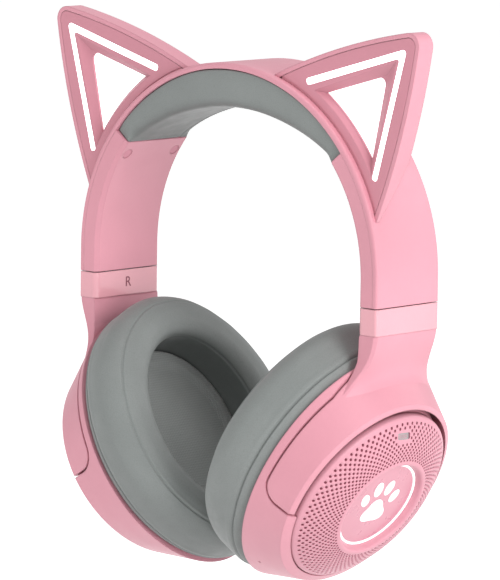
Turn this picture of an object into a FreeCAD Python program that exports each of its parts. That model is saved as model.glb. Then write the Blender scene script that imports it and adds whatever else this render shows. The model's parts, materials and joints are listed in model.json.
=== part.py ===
import FreeCAD, Part
import math
import os
import Sketcher
from FreeCAD import Vector as V, Rotation, Placement

os.makedirs("parts", exist_ok=True)
doc = FreeCAD.newDocument("headset")

# ---------------------------------------------------------------- dimensions
sheet = doc.addObject("Spreadsheet::Sheet", "sizes")
SIZES = {
    "rest_height": 60.3, "band_centre": 8.0, "band_outer": 67.0, "band_plate": 2.0,
    "band_width": 31.0, "arm_inner": 58.8, "arm_wall": 1.5, "channel_width": 27.8,
    "pad_half_angle": 50.5, "pad_width": 30.0, "pad_arc": 79.8, "pad_arc_centre": -19.5,
    "base_width": 27.0, "spring_width": 14.0, "spring_half_angle": 66.0,
    "ear_thickness": 7.0, "ear_front": 13.3, "bezel_thickness": 2.4, "light_thickness": 1.4, "panel_thickness": 1.25,
    "board_thickness": 0.8, "plug_radius": 1.85, "plug_offset": 11.5,
    "strip_width": 18.0, "strip_thickness": 1.2, "strip_inner": 61.0, "strip_top": 26.5,
    "collar_height": 8.7, "cup_x": 51.76, "cup_z": -64.84, "cup_tilt": 29.66,
    "ring_radius": 32.5, "ring_gap": 1.4, "form_front": 36.0, "form_back_x": 38.1,
    "form_back_v": 45.1, "form_depth": 15.1, "pivot_v": 3.0, "pivot_depth": -7.5,
    "pivot_end": 6.0, "pin_radius": 1.5, "pin_run": 0.05, "cushion_x": 41.4,
    "cushion_v": 45.0, "cushion_crest": -39.4, "touch_gap": 0.6, "opening_x": 27.5, "opening_v": 31.0,
    "crest_outer_round": 8.0, "crest_inner_round": 5.0, "cloth_thickness": 0.6,
    "badge_radius": 15.5, "badge_thickness": 1.45, "light_ring_outer": 16.35,
    "window_width": 4.4, "window_height": 2.6, "driver_radius": 19.3,
    "button_radius": 2.6, "button_run": 0.1, "button_length": 7.0, "port_width": 9.0,
    "port_height": 3.2, "microphone_radius": 1.9, "battery_length": 34.0,
    "battery_width": 24.0, "battery_thickness": 4.0, "mainboard_width": 36.0,
    "mainboard_height": 34.0, "mainboard_thickness": 1.4, "screw_radius": 0.9,
    "head_radius": 1.6, "leaf_width": 8.0, "guide_height": 3.8,
}
for i, (name, value) in enumerate(SIZES.items(), start=1):
    sheet.set("A%d" % i, name)
    sheet.set("B%d" % i, str(value))
    sheet.setAlias("B%d" % i, name)
doc.recompute()


def S(name):
    return float(sheet.get(name))


def bind(obj, prop, expression):
    obj.setExpression(prop, expression.replace("$", "sizes."))


nodes = []


def node(obj, label):
    obj.Label = label
    nodes.append(obj)
    return obj


RISE = V(0, 0, -S("rest_height"))
ROOT = Placement(RISE, Rotation())
TILT = math.radians(S("cup_tilt"))
CT, ST = math.cos(TILT), math.sin(TILT)
# cup frame: x to the wearer's back, y up along the cup face, z out of the cup
CUP_ROT = Rotation(V(0, 1, 0), V(ST, 0, CT), V(CT, 0, -ST), "XYZ")
CUP_FIT = Placement(V(S("cup_x"), 0, S("cup_z")), CUP_ROT)
CUP = Placement(V(S("cup_x"), 0, S("cup_z")) + RISE, CUP_ROT)
XZ = Placement(V(0, 0, 0), Rotation(V(1, 0, 0), 90))


# ---------------------------------------------------------------- helpers
def body(name):
    b = doc.addObject("PartDesign::Body", name)
    return b


def origin_plane(b, role):
    for f in b.Origin.OriginFeatures:
        if f.Role == role:
            return f
    raise RuntimeError(role)


def sketch_in(b, name, role, offset=0.0):
    sk = b.newObject("Sketcher::SketchObject", name)
    sk.AttachmentSupport = [(origin_plane(b, role), "")]
    sk.MapMode = "FlatFace"
    if offset:
        sk.AttachmentOffset = Placement(V(0, 0, offset), Rotation())
    return sk


def line(a, b):
    return Part.LineSegment(V(a[0], a[1], 0), V(b[0], b[1], 0))


def arc3(a, m, b):
    return Part.Arc(V(a[0], a[1], 0), V(m[0], m[1], 0), V(b[0], b[1], 0))


def poly(pts):
    return [line(pts[i], pts[(i + 1) % len(pts)]) for i in range(len(pts))]


def rounded(pts, radii):
    """closed outline with rounded corners, as sketch geometry"""
    n = len(pts)
    ends = []
    for i in range(n):
        p, a, b = V(*pts[i], 0), V(*pts[i - 1], 0), V(*pts[(i + 1) % n], 0)
        r = radii[i] if isinstance(radii, (list, tuple)) else radii
        if r <= 0:
            ends.append((p, None, p))
            continue
        u, w = (a - p).normalize(), (b - p).normalize()
        half = u.getAngle(w) / 2
        d = r / math.tan(half)
        c = p + (u + w).normalize() * (r / math.sin(half))
        m = c + (p - c).normalize() * r
        ends.append((p + u * d, m, p + w * d))
    out = []
    for i in range(n):
        s, m, e = ends[i]
        if m is not None:
            out.append(Part.Arc(s, m, e))
        nxt = ends[(i + 1) % n][0]
        if (nxt - e).Length > 1e-6:
            out.append(Part.LineSegment(e, nxt))
    return out


def polar(r, deg, zc=None):
    """point of the headband at an angle from straight up"""
    zc = S("band_centre") if zc is None else zc
    a = math.radians(deg)
    return (r * math.sin(a), zc + r * math.cos(a))


def pad_body(label, geo, width, placement, role="XZ_Plane"):
    b = body(label)
    sk = sketch_in(b, label + "_outline", role)
    sk.addGeometry(geo, False)
    p = b.newObject("PartDesign::Pad", label + "_pad")
    p.Profile = sk
    p.Midplane = True
    bind(p, "Length", width)
    doc.recompute()
    b.Placement = placement
    return b, p


def turned(label, pts, placement):
    """revolved about the cup axis from (radius, depth) points"""
    b = body(label)
    sk = sketch_in(b, label + "_profile", "XZ_Plane")
    sk.addGeometry(pts if not isinstance(pts[0], tuple) else poly(pts), False)
    r = b.newObject("PartDesign::Revolution", label + "_turn")
    r.Profile = sk
    r.ReferenceAxis = (sk, ["V_Axis"])
    r.Angle = 360
    doc.recompute()
    b.Placement = placement
    return b


def free_sketch(name, geo, placement):
    sk = doc.addObject("Sketcher::SketchObject", name)
    sk.addGeometry(geo, False)
    sk.Placement = placement
    return sk


def prism(name, geo, length, placement=XZ, symmetric=True):
    sk = free_sketch(name + "_sk", geo, placement)
    e = doc.addObject("Part::Extrusion", name)
    e.Base = sk
    e.DirMode = "Normal"
    e.Solid = True
    e.Symmetric = symmetric
    if isinstance(length, str):
        bind(e, "LengthFwd", length)
    else:
        e.LengthFwd = length
    return e


def ellipse(name, z, x, v, turn=90):
    """ellipse in the cup frame, x front-back and v up half axes"""
    e = doc.addObject("Part::Ellipse", name)
    e.Placement = Placement(V(0, 0, z), Rotation(V(0, 0, 1), turn))
    if isinstance(v, str):
        bind(e, "MajorRadius", v)
    else:
        e.MajorRadius = v
    if isinstance(x, str):
        bind(e, "MinorRadius", x)
    else:
        e.MinorRadius = x
    return e


def loft(name, sections, ruled=True):
    l = doc.addObject("Part::Loft", name)
    l.Sections = sections
    l.Solid = True
    l.Ruled = ruled
    return l


def cone_form(name, *rows, turn=90):
    return loft(name, [ellipse("%s_e%d" % (name, i), z, x, v, turn) for i, (z, x, v) in enumerate(rows)])


def cylinder(name, radius, height, placement):
    c = doc.addObject("Part::Cylinder", name)
    if isinstance(radius, str):
        bind(c, "Radius", radius)
    else:
        c.Radius = radius
    if isinstance(height, str):
        bind(c, "Height", height)
    else:
        c.Height = height
    c.Placement = placement
    return c


def box(name, sx, sy, sz, centre, rotation=None):
    """box centred on a point; sizes may be expressions"""
    b = doc.addObject("Part::Box", name)
    for prop, s in (("Length", sx), ("Width", sy), ("Height", sz)):
        if isinstance(s, str):
            bind(b, prop, s)
        else:
            setattr(b, prop, s)
    doc.recompute()
    l, w, h = b.Length.Value, b.Width.Value, b.Height.Value
    rot = rotation or Rotation()
    b.Placement = Placement(V(*centre) - rot.multVec(V(l / 2, w / 2, h / 2)), rot)
    return b


def cut(name, base, *tools):
    if len(tools) == 1:
        tool = tools[0]
    else:
        tool = fuse(name + "_tools", *tools)
    c = doc.addObject("Part::Cut", name)
    c.Base, c.Tool = base, tool
    return c


def fuse(name, *shapes):
    f = doc.addObject("Part::MultiFuse", name)
    f.Shapes = list(shapes)
    return f


def common(name, *shapes):
    c = doc.addObject("Part::MultiCommon", name)
    c.Shapes = list(shapes)
    return c


def group(name, *shapes):
    c = doc.addObject("Part::Compound", name)
    c.Links = list(shapes)
    return c


def along(direction, point=(0, 0, 0)):
    return Placement(V(*point), Rotation(V(0, 0, 1), V(*direction)))


def mirrored(source, label):
    m = doc.addObject("Part::Mirroring", label)
    m.Source = source
    m.Base = V(0, 0, 0)
    m.Normal = V(1, 0, 0)
    return node(m, label)


# ---------------------------------------------------------------- headband
ZC, RO, RI = S("band_centre"), S("band_outer"), S("band_outer") - S("band_plate")
b, p = pad_body("headband_outer_shell", [
    line((RO, 0), (RO, ZC)), arc3((RO, ZC), (0, ZC + RO), (-RO, ZC)), line((-RO, ZC), (-RO, 0)),
    line((-RO, 0), (-RI, 0)), line((-RI, 0), (-RI, ZC)), arc3((-RI, ZC), (0, ZC + RI), (RI, ZC)),
    line((RI, ZC), (RI, 0)), line((RI, 0), (RO, 0))], "$band_width", ROOT)
rim = []
for i, e in enumerate(p.Shape.Edges, start=1):
    pts = e.discretize(5)
    if all(abs(abs(q.y) - S("band_width") / 2) < 1e-3 for q in pts) and \
       all(max(abs(q.x), math.hypot(q.x, q.z - ZC)) > RO - 1e-3 for q in pts) and e.Length > 5:
        rim.append("Edge%d" % i)
f = b.newObject("PartDesign::Fillet", "shell_rim_round")
f.Base = (p, rim)
f.Radius = 1.0
doc.recompute()
node(b, "headband_outer_shell")

A = S("spring_half_angle")
b, p = pad_body("headband_spring_band", [
    arc3(polar(64.95, -A), polar(64.95, 0), polar(64.95, A)), line(polar(64.95, A), polar(64.1, A)),
    arc3(polar(64.1, A), polar(64.1, 0), polar(64.1, -A)), line(polar(64.1, -A), polar(64.95, -A))],
    "$spring_width", ROOT)
node(b, "headband_spring_band")

A = S("pad_half_angle")
b, p = pad_body("crown_pad_base", [
    arc3(polar(64.05, -A + 1), polar(64.05, 0), polar(64.05, A - 1)), line(polar(64.05, A - 1), polar(62.6, A - 1)),
    arc3(polar(62.6, A - 1), polar(62.6, 0), polar(62.6, -A + 1)), line(polar(62.6, -A + 1), polar(64.05, -A + 1))],
    "$base_width", ROOT)
node(b, "crown_pad_base")

# crown pad: outer arc on the band, lower arc much flatter, ends cut to a trapezium
PC, PR = S("pad_arc_centre"), S("pad_arc")


def on_pad(x):
    return (x, PC + math.sqrt(PR * PR - x * x))


t0 = polar(64.9, A)
t1 = on_pad(t0[0] - 5.0)
core = [arc3(polar(64.9, -A), polar(64.9, 0), t0), line(t0, t1), arc3(t1, on_pad(0), (-t1[0], t1[1])),
        line((-t1[0], t1[1]), polar(64.9, -A))]
b, p = pad_body("crown_pad", core, "$pad_width", ROOT)
sk = sketch_in(b, "base_channel", "XZ_Plane")
sk.addGeometry([arc3(polar(66, -A - 3), polar(66, 0), polar(66, A + 3)), line(polar(66, A + 3), polar(62.55, A + 3)),
                arc3(polar(62.55, A + 3), polar(62.55, 0), polar(62.55, -A - 3)), line(polar(62.55, -A - 3), polar(66, -A - 3))], False)
q = b.newObject("PartDesign::Pocket", "base_channel_pocket")
q.Profile = sk
q.Midplane = True
bind(q, "Length", "$base_width + 0.1")
doc.recompute()
node(b, "crown_pad")

# arm inner covers: channel sections closing the arms, with bosses for the screws
AI, AW = S("arm_inner"), S("arm_wall")
TOP = A + 0.35
RC = RI - 0.02
b, p = pad_body("arm_cover_body", [
    line((RC, 0), (RC, ZC)), arc3((RC, ZC), polar(RC, 75), polar(RC, TOP)), line(polar(RC, TOP), polar(AI, TOP)),
    arc3(polar(AI, TOP), polar(AI, 75), (AI, ZC)), line((AI, ZC), (AI, 0)), line((AI, 0), (RC, 0))],
    "$band_width", Placement())
sk = sketch_in(b, "channel_outline", "XZ_Plane")
CI = AI + AW
sk.addGeometry([
    line((RC + 1, -1), (RC + 1, ZC)), arc3((RC + 1, ZC), polar(RC + 1, 70), polar(RC + 1, TOP - 2)),
    line(polar(RC + 1, TOP - 2), polar(CI, TOP - 2)), arc3(polar(CI, TOP - 2), polar(CI, 70), (CI, ZC)),
    line((CI, ZC), (CI, -1)), line((CI, -1), (RC + 1, -1))], False)
q = b.newObject("PartDesign::Pocket", "channel_pocket")
q.Profile = sk
q.Midplane = True
bind(q, "Length", "$channel_width")
doc.recompute()
edges = []
for i, e in enumerate(q.Shape.Edges, start=1):
    pts = e.discretize(5)
    if all(abs(abs(w.y) - S("band_width") / 2) < 1e-3 for w in pts) and e.Length > 5 and \
       all((w.z > ZC and abs(math.hypot(w.x, w.z - ZC) - AI) < 1e-3) or (w.z <= ZC + 1e-6 and abs(w.x - AI) < 1e-3) for w in pts):
        edges.append("Edge%d" % i)
ch = b.newObject("PartDesign::Chamfer", "cover_edge")
ch.Base = (q, edges)
ch.Size = 1.35
doc.recompute()
PO = S("plug_offset")
bosses, drills, plugs, screws = [], [], [], []
dirn = (math.sin(math.radians(56)), 0, math.cos(math.radians(56)))


def radial(name, radius, r0, r1, y):
    base = (dirn[0] * r0, y, ZC + dirn[2] * r0)
    return cylinder(name, radius, r1 - r0, along(dirn, base))


for k, y in enumerate((-PO, PO)):
    bosses.append(radial("boss%d" % k, 2.9, 59.6, 64.7, y))
    drills.append(radial("plug_hole%d" % k, 1.9, 57, 61.6, y))
    drills.append(radial("shank_hole%d" % k, 1.0, 61.5, 66, y))
    plugs.append(radial("plug%d" % k, "$plug_radius", 58.9, 60.3, y))
    head = radial("arm_head%d" % k, 1.7, 60.5, 61.55, y)
    shank = radial("arm_shank%d" % k, "$screw_radius", 61.5, 64.6, y)
    screws.append(fuse("arm_screw%d" % k, head, shank))
cover = cut("arm_cover_cut", fuse("arm_cover_bossed", b, *bosses), *drills)
cover.Placement = ROOT
node(cover, "arm_inner_cover_left")
mirrored(cover, "arm_inner_cover_right")


def both_sides(label, shapes):
    g = group(label + "_one_side", *shapes)
    m = doc.addObject("Part::Mirroring", label + "_other_side")
    m.Source, m.Base, m.Normal = g, V(0, 0, 0), V(1, 0, 0)
    a = group(label, g, m)
    a.Placement = ROOT
    return node(a, label)


both_sides("arm_screw_plugs", plugs)
both_sides("arm_cover_screws", screws)

# slider guide blocks and detent leaves inside the arms
guide = cut("guide_cut", box("guide_block", 64.9 - 60.35, 27.6, "$guide_height", ((64.9 + 60.35) / 2, 0, 0.1 + 1.9)),
            box("guide_slot", 1.44, 18.24, 10, (61.6, 0, 2)))
guide.Placement = ROOT
node(guide, "slider_guide_left")
mirrored(guide, "slider_guide_right")
b, p = pad_body("detent_leaf", poly([(64.6, 4.2), (62.5, 8.3), (64.3, 12.4), (64.7, 12.4), (62.95, 8.3), (64.98, 4.2)]),
                "$leaf_width", ROOT)
node(b, "detent_spring_left")
mirrored(b, "detent_spring_right")

# ---------------------------------------------------------------- cat ears
EAR = Placement(V(0, -(S("ear_front") - S("ear_thickness") / 2), 0) + RISE, Rotation())
T = S("ear_thickness")
BT = S("bezel_thickness")


def shift(p, n, d):
    return (p[0] + n[0] * d, p[1] + n[1] * d)


def ear_outline(d):
    """ear outline set in by d: bowed outer edge, round tip, bowed upper edge, foot inside the band"""
    b1 = shift((64.3, 27.6), (-0.93, 0.37), d)
    m1 = shift((75.2, 58.5), (-0.96, 0.276), d)
    t1 = shift((80.85, 84.25), (-0.988, 0.151), d)
    tm = shift((76.5, 84.91), (0.70, 0.714), 4.4 - d)
    t2 = shift((75.76, 89.26), (0.167, -0.986), d)
    n1 = shift((47.5, 82.7), (0.286, -0.958), d)
    e1 = shift((19.5, 72.4), (0.402, -0.916), d)
    return [arc3(b1, m1, t1), arc3(t1, tm, t2), arc3(t2, n1, e1), line(e1, (18.5, 64.0)), line((18.5, 64.0), (56.5, 26.5)), line((56.5, 26.5), b1)]


def front_plate(name, geo, depth, thick):
    """plate between two depths behind the ear's front face"""
    return prism(name, geo, thick, Placement(V(0, -T / 2 + depth + (thick if not isinstance(thick, str) else S(thick[1:])) / 2, 0), XZ.Rotation))


see_through = [(66.4, 75.1), (38.6, 67.2), (60.2, 45.6)]
band_tool = cylinder("band_tool", RO, 200, along((0, 1, 0), (0, -100, ZC)))
bezel_tool = cylinder("band_tool_bezel", RO + 0.8, 200, along((0, 1, 0), (0, -100, ZC)))
arch_tool = cylinder("arch_tool", RO + 5.2, 200, along((0, 1, 0), (0, -100, ZC)))
foot_tool = cylinder("foot_tool", RO + 3.5, 200, along((0, 1, 0), (0, -100, ZC)))
full = prism("ear_full", ear_outline(0), "$ear_thickness")
opening = cut("ear_hole", prism("ear_hole_full", rounded(see_through, [2.2, 0.8, 0.8]), 40), arch_tool)
recess = front_plate("ear_recess", ear_outline(1.5), -0.5, BT + 0.52)
back_recess = cut("ear_back_recess", front_plate("ear_back_void", ear_outline(3.3), BT + 1.4, 6.0), foot_tool)
taper = prism("ear_taper", poly([(-3.1, 24.0), (3.6, 47.0), (12, 47.0), (12, 15), (-3.1, 15)]), 40,
              Placement(V(58, 0, 0), Rotation(V(0, 1, 0), V(0, 0, 1), V(1, 0, 0), "XYZ")), False)
shell = cut("ear_shell_cut", full, band_tool, recess, back_recess, opening, taper)
shell.Placement = EAR
node(shell, "cat_ear_shell_left")
mirrored(shell, "cat_ear_shell_right")
slope_a = free_sketch("slope_front", poly([(73.2, 81.4), (33.6, 68.0), (62.1, 40.6)]), Placement(V(0, -T / 2 - 0.6, 0), XZ.Rotation))
slope_b = free_sketch("slope_deep", poly([see_through[0], see_through[1], see_through[2]]), Placement(V(0, -T / 2 + 1.8, 0), XZ.Rotation))
arch_cone = doc.addObject("Part::Cone", "arch_cone")
arch_cone.Radius1, arch_cone.Radius2, arch_cone.Height = RO + 2.9, RO + 5.2, 3.0
arch_cone.Placement = along((0, 1, 0), (0, -T / 2 - 1.0, ZC))
slope = cut("slope_void", loft("slope_loft", [slope_a, slope_b]), arch_cone)
lt = prism("light_slot", rounded([(76.0, 84.3), (33.0, 72.0), (33.75, 69.75), (72.9, 81.0), (62.0, 41.3), (64.1, 40.6)], [1.2, 0.9, 0.9, 0.8, 0.9, 0.9]), 20)
bezel = cut("bezel_cut", front_plate("bezel_plate", ear_outline(1.62), 0.0, "$bezel_thickness"), bezel_tool, opening, slope, lt)
bezel.Placement = EAR
node(bezel, "cat_ear_bezel_left")
mirrored(bezel, "cat_ear_bezel_right")
vee = [(75.92, 84.22), (33.08, 71.94), (33.8, 69.82), (72.98, 81.08), (62.08, 41.35), (64.04, 40.68)]
light = group("ear_light_placed", front_plate("ear_light", rounded(vee, [1.15, 0.85, 0.85, 0.85, 0.85, 0.85]), 0.06, "$light_thickness"))
light.Placement = EAR
node(light, "cat_ear_light_left")
mirrored(light, "cat_ear_light_right")
brd = group("ear_board_placed", front_plate("ear_board", rounded(vee, [1.15, 0.85, 0.85, 0.85, 0.85, 0.85]), 0.1 + S("light_thickness"), "$board_thickness"))
brd.Placement = EAR
node(brd, "cat_ear_led_board_left")
mirrored(brd, "cat_ear_led_board_right")
# lit diffuser panel filling the triangular window of the ear frame
mid = (sum(p[0] for p in see_through) / 3, sum(p[1] for p in see_through) / 3)
window = [(mid[0] + (p[0] - mid[0]) * 0.992, mid[1] + (p[1] - mid[1]) * 0.992) for p in see_through]
panel_arch = cylinder("panel_arch_tool", RO + 5.27, 200, along((0, 1, 0), (0, -100, ZC)))
panel = cut("ear_panel_cut", front_plate("ear_panel", rounded(window, [2.2, 0.8, 0.8]), BT + 0.07, "$panel_thickness"), panel_arch)
panel.Placement = EAR
node(panel, "cat_ear_panel_left")
mirrored(panel, "cat_ear_panel_right")

# ---------------------------------------------------------------- slider, collar, yoke
sw, sti = S("strip_inner"), S("strip_thickness")
b, p = pad_body("slider_strip", poly([(sw, -8), (sw + sti, -8), (sw + sti, S("strip_top") - 1), (sw + sti - 0.5, S("strip_top")),
                                      (sw, S("strip_top"))]), "$strip_width", Placement())
slots = prism("detent_slots", [Part.Circle(V(0, z, 0), V(0, 0, 1), 0.9) for z in (6, 9, 12, 15, 18)], 10,
              Placement(V(60, 0, 0), Rotation(V(0, 1, 0), V(0, 0, 1), V(1, 0, 0), "XYZ")), False)
strip = cut("strip_cut", b, slots)
strip.Placement = ROOT
node(strip, "slider_strip_left")
mirrored(strip, "slider_strip_right")

CH = S("collar_height")
sec = rounded([(AI + 0.1, -15.5), (RO, -15.5), (RO, 15.5), (AI + 0.1, 15.5)], [1.9, 1.0, 1.0, 1.9])
collar = cut("collar_cut", prism("collar_block", sec, "$collar_height", Placement(V(0, 0, -9.0), Rotation()), False),
             box("collar_slot", 1.24, 18.04, 9.5, (sw + sti / 2, 0, -8 + 4.75)))
collar.Placement = ROOT
node(collar, "slider_collar_left")
mirrored(collar, "slider_collar_right")

# shape shared by housing and yoke: truncated elliptic cone with a bevel round the grille
FX, FV, FF, FD = S("form_back_x"), S("form_back_v"), S("form_front"), S("form_depth")
ZB = -2.0 - FD


def form(name):
    return cone_form(name, (ZB, FX, FV), (-2.0, FF, FF + 0.001), (-0.55, 33.0, 33.001))


PV, PH, PE = S("pivot_v"), S("pivot_depth"), S("pivot_end")
# side view (v, depth) seen along the cup's front-back axis
SIDE = Placement(V(0, 0, 0), Rotation(V(0, 1, 0), V(0, 0, 1), V(1, 0, 0), "XYZ"))


def side_region(name, grow):
    r = PE + grow
    back = PH - PE + 0.2 - grow
    k = 0.3316 * grow
    geo = [line((PV, PH - r), (33.0, PH - r)), line((33.0, PH - r), (44.5, PH - r - 3.1)), line((44.5, PH - r - 3.1), (52.0, PH - r - 6.9)),
           line((52.0, PH - r - 6.9), (70, PH - r - 6.9)), line((70, PH - r - 6.9), (70, 30)), line((70, 30), (PV - r, 30)),
           line((PV - r, 30), (PV - r, PH)), arc3((PV - r, PH), (PV - r * math.sqrt(0.5), PH - r * math.sqrt(0.5)), (PV, PH - r))]
    return prism(name, geo, 200, SIDE)


yoke_side = side_region("yoke_side", 0.0)
clear_side = side_region("clear_side", 0.8)

# inner face of the yoke shell and floor of the housing recess


def half_form(name, *rows):
    """back half of an elliptic form, between the sections given as (depth, x, v)"""
    sections = []
    for i, (z, x, v) in enumerate(rows):
        el = Part.Ellipse(V(0, -v, 0), V(x, 0, 0), V(0, 0, 0))
        geo = [Part.ArcOfEllipse(el, 0, math.pi), Part.LineSegment(V(0, v, 0), V(0, -v, 0))]
        sections.append(free_sketch("%s_s%d" % (name, i), geo, Placement(V(0, 0, z), Rotation())))
    return loft(name, sections)


def flipped(name, source):
    m = doc.addObject("Part::Mirroring", name)
    m.Source, m.Base, m.Normal = source, V(0, 0, 0), V(1, 0, 0)
    return m


inner = half_form("yoke_inner", (-22.0, 35.9, 44.5), (-0.2, 33.83, 33.831))
inner_front = flipped("yoke_inner_front", inner)
turret = cylinder("yoke_turret", "$ring_radius + $ring_gap", 14, Placement(V(0, 0, -5), Rotation()))
yoke_back = common("yoke_back", cut("yoke_back_wall", half_form("yoke_outer", (ZB, FX, FV), (-2.0, FF, FF + 0.001), (-0.55, 33.0, 33.001)), inner), yoke_side)
yoke_shell = fuse("yoke_shell", yoke_back, flipped("yoke_front", yoke_back))
yoke_shell.Refine = True


# neck: sections at falling heights, drawn in the head frame
def neck_section(name, z, w, xo, sag, xi, c):
    m = [(xo - sag, -w + c), (xo, 0), (xo - sag, w - c)]
    geo = [arc3(*m), line(m[2], (xo - sag - c, w)), line((xo - sag - c, w), (xi - sag * 0.3 + c, w)),
           line((xi - sag * 0.3 + c, w), (xi - sag * 0.3, w - c)), line((xi - sag * 0.3, w - c), (xi - sag * 0.3, -w + c)),
           line((xi - sag * 0.3, -w + c), (xi - sag * 0.3 + c, -w)), line((xi - sag * 0.3 + c, -w), (xo - sag - c, -w)),
           line((xo - sag - c, -w), m[0])]
    return free_sketch(name, geo, Placement(V(0, 0, z), Rotation()))


neck_rows = [(-9.02, 15.5, 67.0, 0.05, 58.9, 1.0), (-13.0, 15.5, 66.3, 0.2, 58.6, 1.0), (-18.0, 15.8, 64.6, 0.5, 58.0, 1.0),
             (-23.0, 17.6, 63.7, 2.2, 56.0, 1.0), (-27.5, 20.6, 64.7, 5.2, 54.0, 1.0), (-32.5, 24.4, 66.3, 9.2, 52.0, 1.0)]
neck = loft("neck_loft", [neck_section("neck%d" % i, *r) for i, r in enumerate(neck_rows)], False)
neck_cup = group("neck_cup", neck)
neck_cup.Placement = CUP_FIT.inverse()
neck_kept = cut("neck_kept", cut("neck_front", cut("neck_back", common("neck_side", neck_cup, yoke_side), inner), inner_front), turret)
pin_holes = [cylinder("pin_hole%d" % i, "$pin_radius", 36.05 - 28, along((s, 0, 0), (s * 28, PV, PH))) for i, s in enumerate((-1, 1))]
yoke = cut("yoke_cut", fuse("yoke_whole", yoke_shell, neck_kept), *pin_holes)
yoke.Placement = CUP
node(yoke, "yoke_left")
mirrored(yoke, "yoke_right")
pins = group("pivot_pins_pair", *[cylinder("pin%d" % i, "$pin_radius", 36.0 - 30.6, along((s, 0, 0), (s * 30.6, PV, PH))) for i, s in enumerate((-1, 1))])
pins.Placement = CUP
node(pins, "pivot_pins_left")
mirrored(pins, "pivot_pins_right")

# ---------------------------------------------------------------- cup housing
floor = half_form("recess_floor", (ZB, 34.6, 41.0), (-14.1, 34.2, 39.2), (-2.95, 32.3, 32.301))
cavity = half_form("cup_cavity", (ZB - 0.1, 31.5, 38.0), (-4.4, 30.2, 30.6))
rebate = half_form("back_rebate", (ZB - 0.5, 35.7, 42.7), (ZB + 1.65, 35.7, 42.7))
front_open = cylinder("front_open", 29.0, 20, Placement(V(0, 0, -10), Rotation()))
disc_seat = cylinder("disc_seat", "$ring_radius + 0.35", 12, Placement(V(0, 0, -2.9), Rotation()))
run_hole = cylinder("run_hole", "$pin_radius + $pin_run", 40 - 26, along((1, 0, 0), (26, PV, PH)))
outer_cut = cut("form_recessed", half_form("form_h", (ZB, FX, FV), (-2.0, FF, FF + 0.001), (-0.55, 33.0, 33.001)), clear_side)
wall_back = cut("housing_back_bored", cut("housing_back_open", cut("housing_back_cut", fuse("housing_back", outer_cut, floor), cavity), rebate), run_hole)
shell_h = fuse("housing_solid", wall_back, flipped("housing_front", wall_back))
shell_h.Refine = True


def wall_normal(psi, z):
    k = (z + 2.0) / FD
    a = FF - (FX - FF) * k
    c = FF - (FV - FF) * k
    da, dc = -(FX - FF) / FD, -(FV - FF) / FD
    pt = V(a * math.cos(psi), c * math.sin(psi), z)
    n = V(c * math.cos(psi), a * math.sin(psi), -(da * c * math.cos(psi) ** 2 + a * dc * math.sin(psi) ** 2))
    return pt, n.normalize()


screw_at = [(33.4 * math.cos(math.radians(q)), 40.4 * math.sin(math.radians(q))) for q in (42, 138, 222, 318)]
screw_holes = [cylinder("cup_screw_hole%d" % i, 0.95, 2.9, Placement(V(x, y, ZB), Rotation())) for i, (x, y) in enumerate(screw_at)]
common_tools = [front_open, disc_seat] + screw_holes
housing_r = cut("housing_plain", shell_h, *common_tools)
node_r = doc.addObject("Part::Mirroring", "housing_right")
housing_r.Placement = CUP
node_r.Source, node_r.Base, node_r.Normal = housing_r, V(0, 0, 0), V(1, 0, 0)
node(node_r, "cup_housing_right")

# left housing: buttons at the back, charging inlet below, microphone at the front
BR, BC, BL = S("button_radius"), S("button_run"), S("button_length")
left_tools, buttons = [], {}
for label, deg in (("power_button", -20.0), ("volume_up_button", -35.0), ("volume_down_button", -46.5)):
    pt, n = wall_normal(math.radians(deg), -9.6)
    left_tools.append(cylinder(label + "_hole", "$button_radius + $button_run", 14, along(n, pt - n * 11)))
    stem = cylinder(label + "_stem", "$button_radius", "$button_length", along(n, pt - n * (BL - 0.6)))
    buttons[label] = stem
pt, n = wall_normal(math.radians(-80), -9.8)
side = V(0, 0, 1).cross(n).normalize()
up = n.cross(side)
prot = Rotation(side, up, n, "XYZ")
PW, PHH = S("port_width"), S("port_height")
port_geo = rounded([(-PW / 2, -PHH / 2), (PW / 2, -PHH / 2), (PW / 2, PHH / 2), (-PW / 2, PHH / 2)], 1.5)
hole_geo = rounded([(-PW / 2 - .1, -PHH / 2 - .1), (PW / 2 + .1, -PHH / 2 - .1), (PW / 2 + .1, PHH / 2 + .1), (-PW / 2 - .1, PHH / 2 + .1)], 1.6)
mouth_geo = rounded([(-PW / 2 + .35, -PHH / 2 + .35), (PW / 2 - .35, -PHH / 2 + .35), (PW / 2 - .35, PHH / 2 - .35), (-PW / 2 + .35, PHH / 2 - .35)], 1.15)
left_tools.append(prism("port_hole", hole_geo, 16, Placement(pt - n * 8, prot), False))
port = fuse("port_whole", cut("port_shell", prism("port_body", port_geo, 6.0, Placement(pt - n * 6.9, prot), False),
                              prism("port_mouth", mouth_geo, 6.0, Placement(pt - n * 5.9, prot), False)),
            prism("port_tongue", rounded([(-3.2, -0.35), (3.2, -0.35), (3.2, 0.35), (-3.2, 0.35)], 0.1), 4.6, Placement(pt - n * 6.2, prot), False))
MPT, MN = wall_normal(math.radians(180 + 50.5), -12.0)
left_tools.append(cylinder("mic_hole", "$microphone_radius + 0.05", 12, along(MN, MPT - MN * 12.9)))
left_tools.append(cylinder("mic_pinhole", 0.5, 4, along(MN, MPT - MN * 2)))
housing_l = cut("housing_fitted", shell_h, *(common_tools + left_tools))
housing_l.Placement = CUP
node(housing_l, "cup_housing_left")
for label, stem in buttons.items():
    g = group(label + "_placed", stem)
    g.Placement = CUP
    node(g, label)
port.Placement = CUP
node(port, "usb_c_port")
mic = group("microphone_placed", cylinder("mic_can", "$microphone_radius", 2.2, along(MN, MPT - MN * 3.2)))
mic.Placement = CUP
node(mic, "microphone")

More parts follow.
